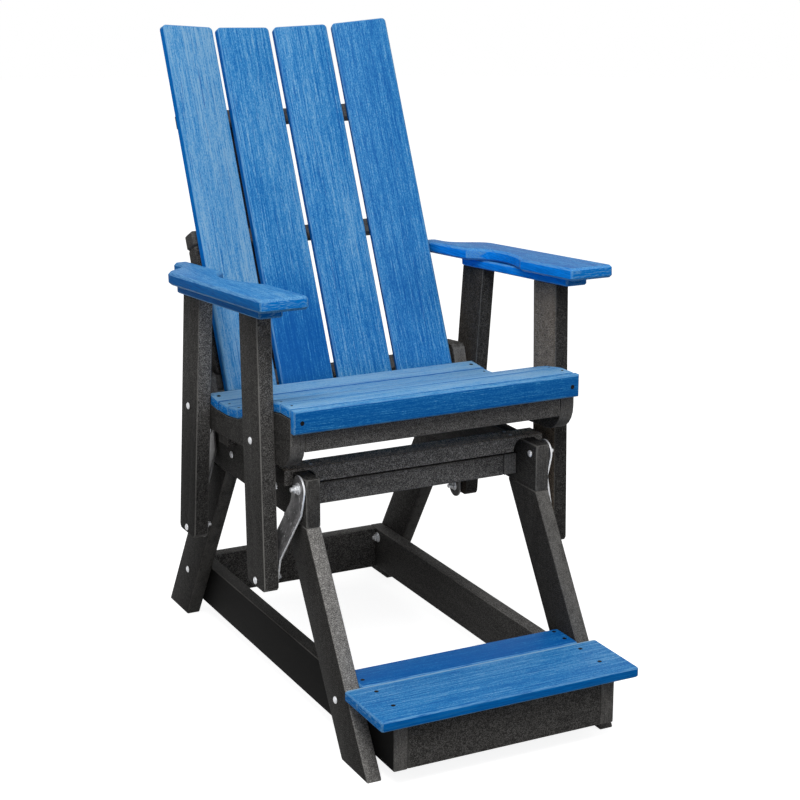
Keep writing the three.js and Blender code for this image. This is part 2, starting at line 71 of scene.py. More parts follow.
MM = 0.001
X, Y, Z = range(3)
UP = Vector((0, 0, 1))
AHEAD = Vector((0, -1, 0))
QUARTER = math.radians(90)
BACK_LEAN = math.radians(24.4)

# Turns that bring the grain of a board onto the X axis
ALONG_TURNS = ((0.0, 0.0, QUARTER),)
UPRIGHT_TURNS = ((0.0, QUARTER, 0.0),)
BACK_TURNS = ((BACK_LEAN, 0.0, 0.0), (0.0, QUARTER, 0.0))

# Places of the Mix node's factor and two colours among its inputs, and of the mixed colour
MIX_INPUTS = (0, 6, 7)
MIX_OUTPUT = 2


class Lie(Enum):
    """How a board lies: the turns that bring its grain onto X, and the axis of its broad faces after them."""

    FLAT_ACROSS = ((), Z)
    ON_EDGE_ACROSS = ((), Y)
    FLAT_ALONG = (ALONG_TURNS, Z)
    ON_EDGE_ALONG = (ALONG_TURNS, Y)
    UPRIGHT = (UPRIGHT_TURNS, Z)
    BACK_SLAT = (BACK_TURNS, Y)
    BACK_UPRIGHT = (BACK_TURNS, Z)


class Screw(Enum):
    """A kind of screw: its size as a share of the usual one, and whether it is blackened."""

    DARK = (1.0, True)
    BRIGHT = (0.85, False)
    SMALL = (0.6, True)


class Side(Enum):
    """The side of the chair, as seen from the front."""

    LEFT = -1
    RIGHT = 1

    @property
    def word(self) -> str:
        """Return the side's word in node names."""
        return self.name.lower()

    @property
    def out(self) -> Vector:
        """Return the way out of the chair on this side."""
        return Vector((self.value, 0, 0))

    def outer(self, name: str) -> float:
        """Return the X of a board's outer face."""
        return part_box(name)[self is Side.RIGHT].x

    def inner(self, name: str) -> float:
        """Return the X of a board's inner face."""
        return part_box(name)[self is Side.LEFT].x


@dataclass(frozen=True)
class Nodes:
    """Small helper that adds nodes to one tree."""

    tree: bpy.types.NodeTree

    def feed(self, end: Socket, value: object) -> None:
        """Give an input its value.

        Args:
            end: the input.
            value: a socket to link to it, or the number, vector or colour to set.
        """
        if isinstance(value, Socket):
            self.tree.links.new(value, end)
        elif end.type == "RGBA":
            end.default_value = (*value, 1.0)
        else:
            end.default_value = value

    def fill(self, node: bpy.types.Node, **settings: object) -> None:
        """Set a node's properties and feed its inputs.

        Args:
            node: the node.
            settings: its properties, or inputs by name with underscores for spaces.
        """
        for name, value in settings.items():
            if hasattr(node, name):
                setattr(node, name, value)
            else:
                self.feed(node.inputs[name.replace("_", " ")], value)

    def add(self, kind: str, *terms: object, **settings: object) -> bpy.types.Node:
        """Add a node.

        Args:
            kind: Blender's name of the node type.
            terms: what goes into its first inputs.
            settings: its properties, or inputs by name with underscores for spaces.

        Returns:
            The new node.
        """
        node = self.tree.nodes.new(kind)
        self.fill(node, **settings)
        for end, term in zip(node.inputs, terms):
            self.feed(end, term)
        return node

    def out(self, kind: str, *terms: object, **settings: object) -> Socket:
        """Add a node and return its first output."""
        return self.add(kind, *terms, **settings).outputs[0]

    def maths(self, operation: str, *terms: object) -> Socket:
        """Add a Math node that works on sockets or numbers, and return its output."""
        return self.out("ShaderNodeMath", *terms, operation=operation)

    def times(self, first: object, second: object) -> Socket:
        """Return the product of two sockets or numbers."""
        return self.maths("MULTIPLY", first, second)

    def line(self, value: Socket, slope: object, start: object) -> Socket:
        """Return the start plus the value times the slope."""
        return self.maths("MULTIPLY_ADD", value, slope, start)

    def axis(self, vector: Socket, index: int) -> Socket:
        """Return one coordinate of a vector."""
        return self.add("ShaderNodeSeparateXYZ", vector).outputs[index]

    def scaled(self, colour: Socket, factor: object) -> Socket:
        """Return a colour times a socket or a number."""
        return self.out("ShaderNodeVectorMath", colour, operation="SCALE", Scale=factor)

    def bump(self, height: Socket, strength: float, depth: float) -> Socket:
        """Return the normal that a height gives the surface."""
        return self.out("ShaderNodeBump", Strength=strength, Distance=depth, Height=height)

    def weighted(self, terms: Iterable[tuple[Socket, float]]) -> Socket:
        """Add up values, each times its weight.

        Args:
            terms: the values and their weights.

        Returns:
            The sum's socket.
        """
        total = 0.0
        for value, weight in terms:
            total = self.line(value, weight, total)
        return total

    def between(self, value: Socket, span: Span) -> Socket:
        """Map a value smoothly onto 0 to 1.

        Args:
            value: the socket to map.
            span: the values that give 0 and 1.

        Returns:
            The mapped socket.
        """
        return self.out("ShaderNodeMapRange", value, *span, interpolation_type="SMOOTHSTEP")

    def ramp(self, value: Socket, stops: Iterable[tuple[float, Colour]]) -> Socket:
        """Add a colour ramp.

        Args:
            value: the socket that drives it.
            stops: places and colours, the first at 0 and the last at 1.

        Returns:
            The colour socket.
        """
        node = self.add("ShaderNodeValToRGB", value)
        elements = node.color_ramp.elements
        first, *inner, last = stops
        for place, _ in inner:
            elements.new(place)
        for element, (place, colour) in zip(elements, (first, *inner, last)):
            element.position = place
            element.color = (*colour, 1.0)
        return node.outputs[0]

    def mix(self, factor: Socket, first: object, second: object, blend: str = "MIX") -> Socket:
        """Mix two colours.

        Args:
            factor: the socket that drives the mix.
            first: colour socket or colour.
            second: colour socket or colour.
            blend: blend type.

        Returns:
            The mixed colour's socket.
        """
        node = self.add("ShaderNodeMix", data_type="RGBA", blend_type=blend)
        for place, value in zip(MIX_INPUTS, (factor, first, second)):
            self.feed(node.inputs[place], value)
        return node.outputs[MIX_OUTPUT]


@dataclass(frozen=True)
class FaceMasks:
    """Masks that tell a board's faces apart: each is 1 on its own faces."""

    broad: Socket
    end: Socket
    arris: Socket


@dataclass(frozen=True)
class Blank:
    """A new material, with the object's place and normal turned so that the grain runs along X."""

    material: bpy.types.Material
    nodes: Nodes
    shader: bpy.types.Node
    face: int
    place: Socket
    normal: Socket
    broad_span: Span = (0.62, 0.9)
    end_span: Span = (0.7, 0.9)
    arris_span: Span = (0.36, 0.43)

    @classmethod
    def start(cls, name: str, lie: Lie = Lie.FLAT_ACROSS) -> Blank:
        """Make a material that has only its main shader and the turned coordinates.

        Args:
            name: the material's name.
            lie: how the board lies.

        Returns:
            The blank.
        """
        turns, face = lie.value
        material = bpy.data.materials.new(name)
        material.use_nodes = True
        nodes = Nodes(material.node_tree)
        source = nodes.add("ShaderNodeTexCoord")
        found = []
        for output in ("Object", "Normal"):
            end = source.outputs[output]
            for turn in turns:
                end = nodes.out("ShaderNodeVectorRotate", end, rotation_type="EULER_XYZ", Rotation=turn)
            found.append(end)
        return cls(material, nodes, nodes.tree.nodes["Principled BSDF"], face, *found)

    def masks(self) -> FaceMasks:
        """Find a board's broad faces, its sawn ends and its arrises from the normal.

        Returns:
            The masks.
        """
        nodes = self.nodes
        parts = (nodes.axis(self.normal, index) for index in (X, self.face, Z if self.face == Y else Y))
        along, across, through = (nodes.maths("ABSOLUTE", part) for part in parts)
        slope = nodes.times(across, through)
        for other in (across, through):
            slope = nodes.line(along, other, slope)
        return FaceMasks(
            nodes.between(across, self.broad_span),
            nodes.between(along, self.end_span),
            nodes.between(slope, self.arris_span),
        )


@dataclass(frozen=True)
class Pattern:
    """One stretched noise of a finish.

    Its scale is in cycles per metre along the grain and over the other two axes, for a board whose broad
    faces look along Z. The shift tells it from the finish's other noises. The weight is its share in a sum
    of noises, and the span is where its mask goes from 0 to 1.
    """

    scale: tuple[float, float, float]
    shift: float = 0.0
    weight: float = 1.0
    span: Span = (0.0, 1.0)
    detail: float = 2.0
    roughness: float = 0.6
    distortion: float = 0.0
    axis_shares: tuple[float, float, float] = (1.0, 1.7, 2.3)

    def draw(self, blank: Blank, seed: float) -> Socket:
        """Add the noise to a material.

        Args:
            blank: the material.
            seed: shift that makes each board's pattern its own.

        Returns:
            The noise value's socket.
        """
        along, second, third = self.scale
        scale = self.scale if blank.face == Z else (along, third, second)
        move = tuple((seed + self.shift) * share for share in self.axis_shares)
        place = blank.nodes.out("ShaderNodeMapping", blank.place, Location=move, Scale=scale)
        noise = blank.nodes.add("ShaderNodeTexNoise", place, Scale=1.0, Detail=self.detail,
                                Roughness=self.roughness, Distortion=self.distortion)
        return noise.outputs["Fac"]

    def mask(self, blank: Blank, seed: float) -> Socket:
        """Add the noise and return its mask over the span."""
        return blank.nodes.between(self.draw(blank, seed), self.span)


@dataclass(frozen=True)
class Wear:
    """How a blue board's painted light and shade look.

    Hazes go from about -0.5 for deep to 0.5 for pale and paint shade below 0 and a whitish sheen above it
    over the broad faces, and the top haze paints the same over a narrow top face. Side and end scale the tone
    of the narrow faces and the sawn ends as painted light on them, the low shadow darkens the low part of a
    board as a painted shadow, and the two seams are places along Y where a painted highlight line and a
    painted shade line run.
    """

    haze: float = 0.0
    top_haze: float | None = None
    side: float = 1.0
    end: float = 1.0
    fade: float = 0.0
    shine: float = 0.12
    pale_seam: float | None = None
    dark_seam: float | None = None


@dataclass(frozen=True)
class EmbossedBoard:
    """Blue board with an embossed wood grain: a painted whitish sheen on the broad faces, deep edges,
    scratchy sawn ends and a painted highlight along the arrises.

    A span is where a mask goes from 0 to 1, a share or height is a weight, and a reach starts at a seam.
    """

    edge: Colour = (0.002, 0.155, 0.52)
    deep: Colour = (0.001, 0.098, 0.37)
    middle: Colour = (0.022, 0.205, 0.51)
    light: Colour = (0.085, 0.305, 0.6)
    pale: Colour = (0.24, 0.44, 0.65)
    # The worn colour marks the scratchy sawn ends, and is also the painted highlight along the arrises
    worn: Colour = (0.15, 0.37, 0.62)
    stops: tuple[float, ...] = (0.0, 0.4, 0.68, 1.0)
    fibre: Pattern = Pattern((24.0, 520.0, 520.0), weight=0.8, detail=5.0, roughness=0.75)
    streak: Pattern = Pattern((4.0, 230.0, 230.0), 3.1, 0.45, detail=3.0, distortion=0.3)
    band: Pattern = Pattern((1.2, 24.0, 24.0), 7.7, 0.17)
    cloud: Pattern = Pattern((5.0, 9.0, 9.0), 11.3, 0.08)
    fleck: Pattern = Pattern((240.0, 620.0, 620.0), 5.9, 0.55)
    dash: Pattern = Pattern((8.0, 300.0, 300.0), 17.0, span=(0.38, 0.31))
    crease: Pattern = Pattern((1.4, 150.0, 150.0), 23.0, span=(0.34, 0.28))
    scratch: Pattern = Pattern((1.0, 60.0, 820.0), 29.0, span=(0.52, 0.64), detail=4.0)
    grain_span: Span = (0.737, 1.262)
    haze_share: float = 0.4
    dash_share: float = 0.75
    fade_span: Span = (0.98, 0.72)
    pale_reach: Span = (-6 * MM, -3 * MM)
    pale_break: Span = (0.1, 0.5)
    dark_reach: Span = (4.5 * MM, 2.5 * MM)
    edge_span: Span = (0.38, 0.6)
    streak_span: Span = (0.5, 0.62)
    streak_share: float = 0.35
    top_span: Span = (0.4, 0.8)
    worn_span: Span = (0.3, 0.7)
    edge_shine: float = 0.02
    smoothest: float = 0.4
    rough_spread: float = 0.3
    relief: float = 0.4
    relief_depth: float = 0.9 * MM
    fibre_height: float = 0.6
    streak_height: float = 0.5

    def grained(self, nodes: Nodes, value: Socket, haze: float) -> Socket:
        """Colour the grain's value.

        Args:
            nodes: the material's node helper.
            value: the grain's value.
            haze: how pale the face is painted, as a painted sheen above 0 and a painted shade below it.

        Returns:
            The colour socket.
        """
        shade = nodes.between(nodes.maths("ADD", value, haze * self.haze_share), self.grain_span)
        return nodes.ramp(shade, zip(self.stops, (self.deep, self.middle, self.light, self.pale)))

    def broad_faces(self, blank: Blank, value: Socket, fibre: Socket, seed: float, wear: Wear) -> Socket:
        """Colour the broad faces: grain under a painted hazy sheen with dark dashes, a painted highlight line
        along the seam that catches the light and a painted shade line in the shaded seam.

        Args:
            blank: the board's material.
            value: the grain's value.
            fibre: the fine grain, which breaks the painted highlight line up.
            seed: shift that makes the board's pattern its own.
            appearance: how pale the board is painted and where its painted highlight and shade lines run.

        Returns:
            The colour socket.
        """
        nodes = blank.nodes
        dark = nodes.maths("MAXIMUM", self.dash.mask(blank, seed), self.crease.mask(blank, seed))
        colour = self.grained(nodes, value, wear.haze)
        colour = nodes.mix(nodes.times(dark, self.dash_share), colour, self.deep)
        back = nodes.axis(blank.place, Y)
        if wear.pale_seam is not None:
            # Painted highlight: a pale line along the board's rear arris, where it catches the light
            rubbed = nodes.between(back, [wear.pale_seam + reach for reach in self.pale_reach])
            rubbed = nodes.times(rubbed, nodes.between(fibre, self.pale_break))
            colour = nodes.mix(rubbed, colour, self.pale)
        if wear.dark_seam is not None:
            # Painted shade: a deep line along the board's front arris, in the seam's crevice
            shaded = nodes.between(back, [wear.dark_seam + reach for reach in self.dark_reach])
            colour = nodes.mix(shaded, colour, self.deep)
        return colour

    def narrow_faces(self, blank: Blank, value: Socket, fibre: Socket, streak: Socket, wear: Wear) -> Socket:
        """Colour the narrow faces: deep and streaky, scaled by the painted light on them, with a painted hazy
        sheen on the top where the board has one.

        Args:
            blank: the board's material.
            value: the grain's value.
            fibre: the fine grain.
            streak: the long streaks.
            appearance: how light the faces are painted.

        Returns:
            The colour socket.
        """
        nodes = blank.nodes
        colour = nodes.mix(nodes.between(fibre, self.edge_span), self.deep, self.edge)
        streaks = nodes.times(nodes.between(streak, self.streak_span), self.streak_share)
        # The side share scales the narrow faces' colour as the painted light that falls on them
        colour = nodes.scaled(nodes.mix(streaks, colour, self.middle), wear.side)
        if wear.top_haze is None:
            return colour
        # A face that looks up takes the top haze as a painted sheen
        top = nodes.between(nodes.axis(blank.normal, Z), self.top_span)
        return nodes.mix(top, colour, self.grained(nodes, value, wear.top_haze))

    def make(self, name: str, lie: Lie, seed: float, wear: Wear) -> bpy.types.Material:
        """Make the board's material.

        Args:
            name: the material's name.
            lie: how the board lies.
            seed: shift that makes the board's pattern its own.
            appearance: the board's painted sheen, shade, shadow and highlight lines, and how shiny it is.

        Returns:
            The material.
        """
        blank = Blank.start(name, lie)
        nodes = blank.nodes
        masks = blank.masks()
        patterns = (self.fibre, self.streak, self.band, self.cloud, self.fleck)
        noises = [pattern.draw(blank, seed) for pattern in patterns]
        value = nodes.weighted(zip(noises, (pattern.weight for pattern in patterns)))
        fibre, streak = noises[:2]
        # Painted shadow: the grain's value drops towards the board's low end, where the arm's shadow falls on
        # it
        if wear.fade:
            value = nodes.line(nodes.between(nodes.axis(blank.place, X), self.fade_span), -wear.fade, value)
        broad = self.broad_faces(blank, value, fibre, seed, wear)
        narrow = self.narrow_faces(blank, value, fibre, streak, wear)
        end = nodes.scaled(nodes.mix(self.scratch.mask(blank, seed), self.edge, self.worn), wear.end)
        colour = nodes.mix(masks.broad, nodes.mix(masks.end, narrow, end), broad)
        # Painted highlight along the arrises, in the worn colour and broken up by the fine grain
        worn = nodes.times(masks.arris, nodes.between(fibre, self.worn_span))
        nodes.fill(
            blank.shader,
            Base_Color=nodes.mix(worn, colour, self.worn),
            Specular_IOR_Level=nodes.line(masks.broad, wear.shine - self.edge_shine, self.edge_shine),
            Roughness=nodes.line(fibre, self.rough_spread, self.smoothest),
            Normal=nodes.bump(
                nodes.weighted([(fibre, self.fibre_height), (streak, self.streak_height)]),
                self.relief,
                self.relief_depth,
            ),
        )
        return blank.material


@dataclass(frozen=True)
class Tones:
    """The painted light and shade of a black board's faces, as shares of its usual tone, and the painted warm
    light on its lit broad face.

    The upper tone paints light on the top of an upright board, and the away tone is for the broad face that
    looks along the turned axis's negative way, where it is painted in other light. The edge highlight is how
    strongly its arrises are painted pale as a painted highlight.
    """

    broad: float = 1.0
    narrow: float = 1.0
    end: float = 1.3
    upper: float = 1.0
    warmth: float = 0.0
    rub: float = 0.3
    away: float | None = None


# Painted light and shade per black board: faces that the light falls on lighter, faces in shade darker
TONES = {
    "left_front_post": Tones(0.76, 1.2, upper=1.6, rub=0.9),
    "left_rear_post": Tones(0.3, 0.9, upper=4.2, rub=0.6),
    "right_front_post": Tones(3.3, 0.86, warmth=0.3, away=1.0),
    "right_rear_post": Tones(0.92, 0.8, warmth=0.2),
    "left_front_leg": Tones(0.76, 4.3),
    "right_front_leg": Tones(0.68, 1.5),
    "left_rear_leg": Tones(0.5, 1.0),
    "right_rear_leg": Tones(0.9, 0.9),
    "left_base_rail": Tones(0.06, 0.5, 2.3),
    "right_base_rail": Tones(1.2, 1.95, 2.0),
    "rear_cross_rail": Tones(2.2, 2.6),
    "front_tie_rail": Tones(3.3, 2.0),
    "left_front_cleat": Tones(1.0, 1.0, 0.7),
    "right_front_cleat": Tones(1.2, 1.2, 3.2),
    "front_stop_board": Tones(8.6, 4.0, warmth=0.2, away=1.0),
    "rear_stop_board": Tones(2.6, 2.4, warmth=0.3),
    "front_seat_rail": Tones(2.4, 1.3, warmth=0.05),
    "left_seat_rail": Tones(0.85, 1.0, 2.2),
    "right_seat_rail": Tones(1.0, 1.0, 2.2),
    "left_top_rail": Tones(0.85, 1.0, 1.0, rub=0.6),
    "right_top_rail": Tones(0.9, 1.0, 1.3, rub=0.6),
    "footrest_cross_rail": Tones(1.45, 1.2),
}


@dataclass(frozen=True)
class PebbledBoard:
    """Black board with a fine pebbled skin, a painted highlight along its arrises and smoother, streaky sawn
    ends.

    A span is where a mask goes from 0 to 1. The warm shares tint the lit broad face with a painted warm
    light.
    """

    low: Colour = (0.013, 0.0126, 0.0122)
    body: Colour = (0.042, 0.0405, 0.039)
    high: Colour = (0.112, 0.1085, 0.104)
    # Painted highlight colour of the arrises, where they catch the light
    rubbed: Colour = (0.21, 0.205, 0.195)
    stops: tuple[float, ...] = (0.0, 0.5, 1.0)
    pebble: Pattern = Pattern((500.0, 520.0, 520.0), weight=0.8, detail=3.0)
    lump: Pattern = Pattern((120.0, 130.0, 130.0), 2.0, 0.15)
    scuff: Pattern = Pattern((8.0, 60.0, 60.0), 4.0, 0.1, (0.15, 0.6), detail=4.0, roughness=0.65)
    saw: Pattern = Pattern((1.0, 24.0, 420.0), 9.0, span=(0.25, 0.75), detail=3.0)
    skin_span: Span = (0.37, 0.69)
    sawn_share: float = 0.4
    rise_span: Span = (0.42, 0.74)
    lit_span: Span = (0.0, 0.3)
    away_span: Span = (0.0, -0.3)
    warm_shares: tuple[float, float, float] = (0.35, -0.2, -0.75)
    shine: float = 0.02
    smoothest: float = 0.48
    rough_spread: float = 0.25
    relief: float = 0.45
    relief_depth: float = 0.7 * MM

    def tone(self, blank: Blank, masks: FaceMasks, look: Socket, tones: Tones) -> Socket:
        """Work out each face's painted light and shade.

        Args:
            blank: the board's material.
            masks: the masks of its faces.
            look: the normal's part along the broad faces' axis.
            tones: its faces' painted light and shade.

        Returns:
            The tone's socket.
        """
        nodes = blank.nodes
        # The away tone paints the broad face that looks the other way in its own light and shade
        away = tones.broad if tones.away is None else tones.away
        step = nodes.line(nodes.between(look, self.away_span), away - tones.broad, tones.broad - tones.narrow)
        tone = nodes.line(masks.broad, step, tones.narrow)
        tone = nodes.line(masks.end, tones.end - tones.narrow, tone)
        if tones.upper == 1.0:
            return tone
        # The upper tone paints more light towards the top of an upright board
        height = nodes.between(nodes.axis(blank.place, X), self.rise_span)
        return nodes.times(tone, nodes.line(height, tones.upper - 1.0, 1.0))

    def make(self, name: str, lie: Lie, seed: float, tones: Tones) -> bpy.types.Material:
        """Make the board's material.

        Args:
            name: the material's name.
            lie: how the board lies.
            seed: shift that makes the board's pattern its own.
            tones: its faces' painted light and shade.

        Returns:
            The material.
        """
        blank = Blank.start(name, lie)
        nodes = blank.nodes
        masks = blank.masks()
        patterns = (self.pebble, self.lump, self.scuff)
        noises = [pattern.draw(blank, seed) for pattern in patterns]
        value = nodes.weighted(zip(noises, (pattern.weight for pattern in patterns)))
        pebble, _, scuff = noises
        shade = nodes.between(value, self.skin_span)
        skin = nodes.ramp(shade, zip(self.stops, (self.low, self.body, self.high)))
        sawn = nodes.mix(self.saw.mask(blank, seed), self.body, self.high)
        colour = nodes.mix(nodes.times(masks.end, self.sawn_share), skin, sawn)
        look = nodes.axis(blank.normal, blank.face)
        colour = nodes.scaled(colour, self.tone(blank, masks, look, tones))
        # Painted warm light on the lit broad face
        if tones.warmth:
            warm = tuple(1.0 + tones.warmth * share for share in self.warm_shares)
            lit = nodes.times(masks.broad, nodes.between(look, self.lit_span))
            colour = nodes.mix(lit, colour, warm, blend="MULTIPLY")
        # Painted highlight along the arrises, broken up by the scuff noise
        rub = nodes.times(nodes.times(masks.arris, nodes.between(scuff, self.scuff.span)), tones.rub)
        nodes.fill(
            blank.shader,
            Base_Color=nodes.mix(rub, colour, self.rubbed),
            Specular_IOR_Level=self.shine,
            Roughness=nodes.line(pebble, self.rough_spread, self.smoothest),
            Normal=nodes.bump(value, self.relief, self.relief_depth),
        )
        return blank.material


@dataclass(frozen=True)
class ZincSteel:
    """Bright zinc plating with faint rolling marks, cloudy spots and light scratches, and a painted highlight
    in the rim colour on its faces off the flats.
    """

    bright: Colour = (0.86, 0.87, 0.9)
    dull: Colour = (0.6, 0.61, 0.64)
    # The rim colour marks the light scratches and is also the painted highlight on the faces off the flats
    rim: Colour = (0.9, 0.91, 0.93)
    cloud: Pattern = Pattern((60.0, 60.0, 60.0), span=(0.35, 0.65), detail=4.0)
    mark: Pattern = Pattern((30.0, 900.0, 900.0), 5.0, detail=3.0)
    scratch: Pattern = Pattern((45.0, 260.0, 420.0), 8.0, span=(0.62, 0.7), distortion=1.5)
    flat_span: Span = (0.3, 0.75)
    metal: float = 0.35
    smoothest: float = 0.2
    rough_spread: float = 0.25
    relief: float = 0.15
    relief_depth: float = 0.2 * MM

    def make(self, name: str, seed: float) -> bpy.types.Material:
        """Make the steel's material.

        Args:
            name: the material's name.
            seed: shift that makes the pattern its own.

        Returns:
            The material.
        """
        blank = Blank.start(name, Lie.UPRIGHT)
        nodes = blank.nodes
        mark = self.mark.draw(blank, seed)
        colour = nodes.mix(self.cloud.mask(blank, seed), self.dull, self.bright)
        colour = nodes.mix(self.scratch.mask(blank, seed), colour, self.rim)
        # Faces off the flats take the rim colour as a painted highlight
        flat = nodes.between(nodes.maths("ABSOLUTE", nodes.axis(blank.normal, Z)), self.flat_span)
        nodes.fill(
            blank.shader,
            Base_Color=nodes.mix(flat, self.rim, colour),
            Metallic=self.metal,
            Roughness=nodes.line(mark, self.rough_spread, self.smoothest),
            Normal=nodes.bump(mark, self.relief, self.relief_depth),
        )
        return blank.material


@dataclass(frozen=True)
class DarkScrew:
    """Blackened screw head with a dull sheen."""

    face: Colour = (0.001, 0.001, 0.001)
    worn: Colour = (0.012, 0.012, 0.013)
    wear: Pattern = Pattern((700.0, 700.0, 700.0), 1.0, span=(0.45, 0.65), detail=4.0)
    roughness: float = 0.42
    shine: float = 0.08

    def make(self, name: str) -> bpy.types.Material:
        """Make the screw's material.

        Args:
            name: the material's name.

        Returns:
            The material.
        """
        blank = Blank.start(name)
        colour = blank.nodes.mix(self.wear.mask(blank, 0.0), self.face, self.worn)
        shine = self.shine
        blank.nodes.fill(blank.shader, Base_Color=colour, Roughness=self.roughness, Specular_IOR_Level=shine)
        return blank.material


@dataclass
class Softener:
    """Welds a packed board's faceted mesh, rounds its sharp arrises and smooths its round stretches."""

    width: float = 0.9 * MM
    segments: int = 3
    sharp: float = math.radians(35)
    weld_reach: float = 0.02 * MM
    group: bpy.types.NodeTree | None = None

    def smooth_group(self) -> bpy.types.NodeTree:
        """Make the node group that shades smooth below the sharp angle, once.

        Returns:
            The group.
        """
        if self.group:
            return self.group
        tree = bpy.data.node_groups.new("smooth_round_stretches", "GeometryNodeTree")
        for way in ("INPUT", "OUTPUT"):
            tree.interface.new_socket("Geometry", in_out=way, socket_type="NodeSocketGeometry")
        nodes = Nodes(tree)
        angle = nodes.out("GeometryNodeInputMeshEdgeAngle")
        above = nodes.out("FunctionNodeCompare", angle, self.sharp, operation="GREATER_THAN")
        smooth = "GeometryNodeSetShadeSmooth"
        faces = nodes.out(smooth, nodes.out("NodeGroupInput"))
        edges = nodes.out(smooth, faces, domain="EDGE", Selection=above, Shade_Smooth=False)
        nodes.add("NodeGroupOutput", edges)
        self.group = tree
        return tree

    def soften(self, board: bpy.types.Object, width: float | None = None) -> None:
        """Add the modifiers to a board.

        Args:
            board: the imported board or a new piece.
            width: how wide the rounded arris is, or None for the usual one.
        """
        weld = board.modifiers.new("weld", "WELD")
        weld.merge_threshold = self.weld_reach
        bevel = board.modifiers.new("arris", "BEVEL")
        bevel.width = self.width if width is None else width
        bevel.segments = self.segments
        bevel.limit_method = "ANGLE"
        bevel.angle_limit = self.sharp
        smooth = board.modifiers.new("smooth", "NODES")
        smooth.node_group = self.smooth_group()


@dataclass(frozen=True)
class TopFace:
    """A board's top face: a point of its front edge, one of its rear edge, and its normal."""

    front: Vector
    rear: Vector
    normal: Vector

    def at(self, x: float, share: float) -> Vector:
        """Return the point at an X and at a share of the way from the front edge to the rear one."""
        return Vector((x, *self.front.lerp(self.rear, share).yz))


@dataclass
class Workshop:
    """What every sub-assembly needs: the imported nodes, the finishes and the way to add a piece.

    The seed steps set each board's pattern apart from the last one's. A top face's normal has a Z over
    upward, and two faces are level with each other when their normals' product is over level.
    """

    nodes: dict[str, bpy.types.Object]
    softener: Softener = field(default_factory=Softener)
    blue: EmbossedBoard = EmbossedBoard()
    black: PebbledBoard = PebbledBoard()
    steel: ZincSteel = ZincSteel()
    fastener_seed: float = 2.0
    blue_seed_step: float = 1.37
    black_seed_step: float = 1.13
    rubbed_width: float = 1.3 * MM
    upward: float = 0.7
    level: float = 0.999
    made: int = 0

    def __post_init__(self) -> None:
        """Make the finishes that many small pieces share."""
        self.bright = self.steel.make("zinc_steel_fasteners", self.fastener_seed)
        self.dark = DarkScrew().make("dark_screws")

    def dress(self, name: str, material: bpy.types.Material, width: float | None = None) -> None:
        """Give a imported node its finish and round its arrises.

        Args:
            name: the node's name.
            material: its finish.
            width: how wide the rounded arris is, or None for the usual one.
        """
        board = self.nodes[name]
        for slot in board.material_slots:
            slot.material = material
        self.softener.soften(board, width)
        self.made += 1
        LOG.info("dressed %s", name)

    def blue_board(self, name: str, lie: Lie, wear: Wear, width: float | None = None) -> None:
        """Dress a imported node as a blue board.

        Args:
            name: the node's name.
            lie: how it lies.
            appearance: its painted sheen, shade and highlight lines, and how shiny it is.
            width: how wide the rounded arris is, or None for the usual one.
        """
        seed = self.made * self.blue_seed_step
        self.dress(name, self.blue.make(f"blue_{name}", lie, seed, wear), width)

    def black_finish(self, name: str, lie: Lie) -> bpy.types.Material:
        """Make a black board's finish.

        Args:
            name: the board's name.
            lie: how it lies.

        Returns:
            The material.
        """
        seed = self.made * self.black_seed_step
        return self.black.make(f"black_{name}", lie, seed, TONES.get(name, Tones()))

    def black_board(self, name: str, lie: Lie, width: float | None = None) -> None:
        """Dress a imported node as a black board.

        Args:
            name: the node's name.
            lie: how it lies.
            width: how wide the rounded arris is, or None for a black board's usual one.
        """
        self.dress(name, self.black_finish(name, lie), width or self.rubbed_width)

    def top_face(self, name: str) -> TopFace:
        """Measure the top face of a packed board that lies flat or slopes fore and aft.

        Args:
            name: the node's name.

        Returns:
            The top face.
        """
        mesh = self.nodes[name].data
        faces = [face for face in mesh.polygons if face.normal.z > self.upward]
        normal = max(faces, key=lambda face: face.area).normal.copy()
        points = [
            mesh.vertices[index].co
            for face in faces if face.normal.dot(normal) > self.level
            for index in face.vertices
        ]
        return TopFace(min(points, key=lambda point: point.y), max(points, key=lambda point: point.y), normal)

    def add(self, name: str, solid: Solid, material: bpy.types.Material, slot: str,
            body: str) -> bpy.types.Object:
        """Add a new piece to the chair.

        Args:
            name: the piece's name.
            solid: its shape, in place, which is freed.
            material: its finish.
            slot: not used.
            body: the body that carries it.

        Returns:
            The new object.
        """
        mesh = finished(solid, name)
        piece = bpy.data.objects.new(name, mesh)
        bpy.context.scene.collection.objects.link(piece)
        mesh.materials.append(material)
        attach(piece, body)
        LOG.info("added %s", name)
        return piece


def facing(place: Vector, axis: Vector) -> Matrix:
    """Return the matrix that stands a fastener's own Z along an axis at a place."""
    return Matrix.Translation(place) @ axis.to_track_quat("Z", "Y").to_matrix().to_4x4()


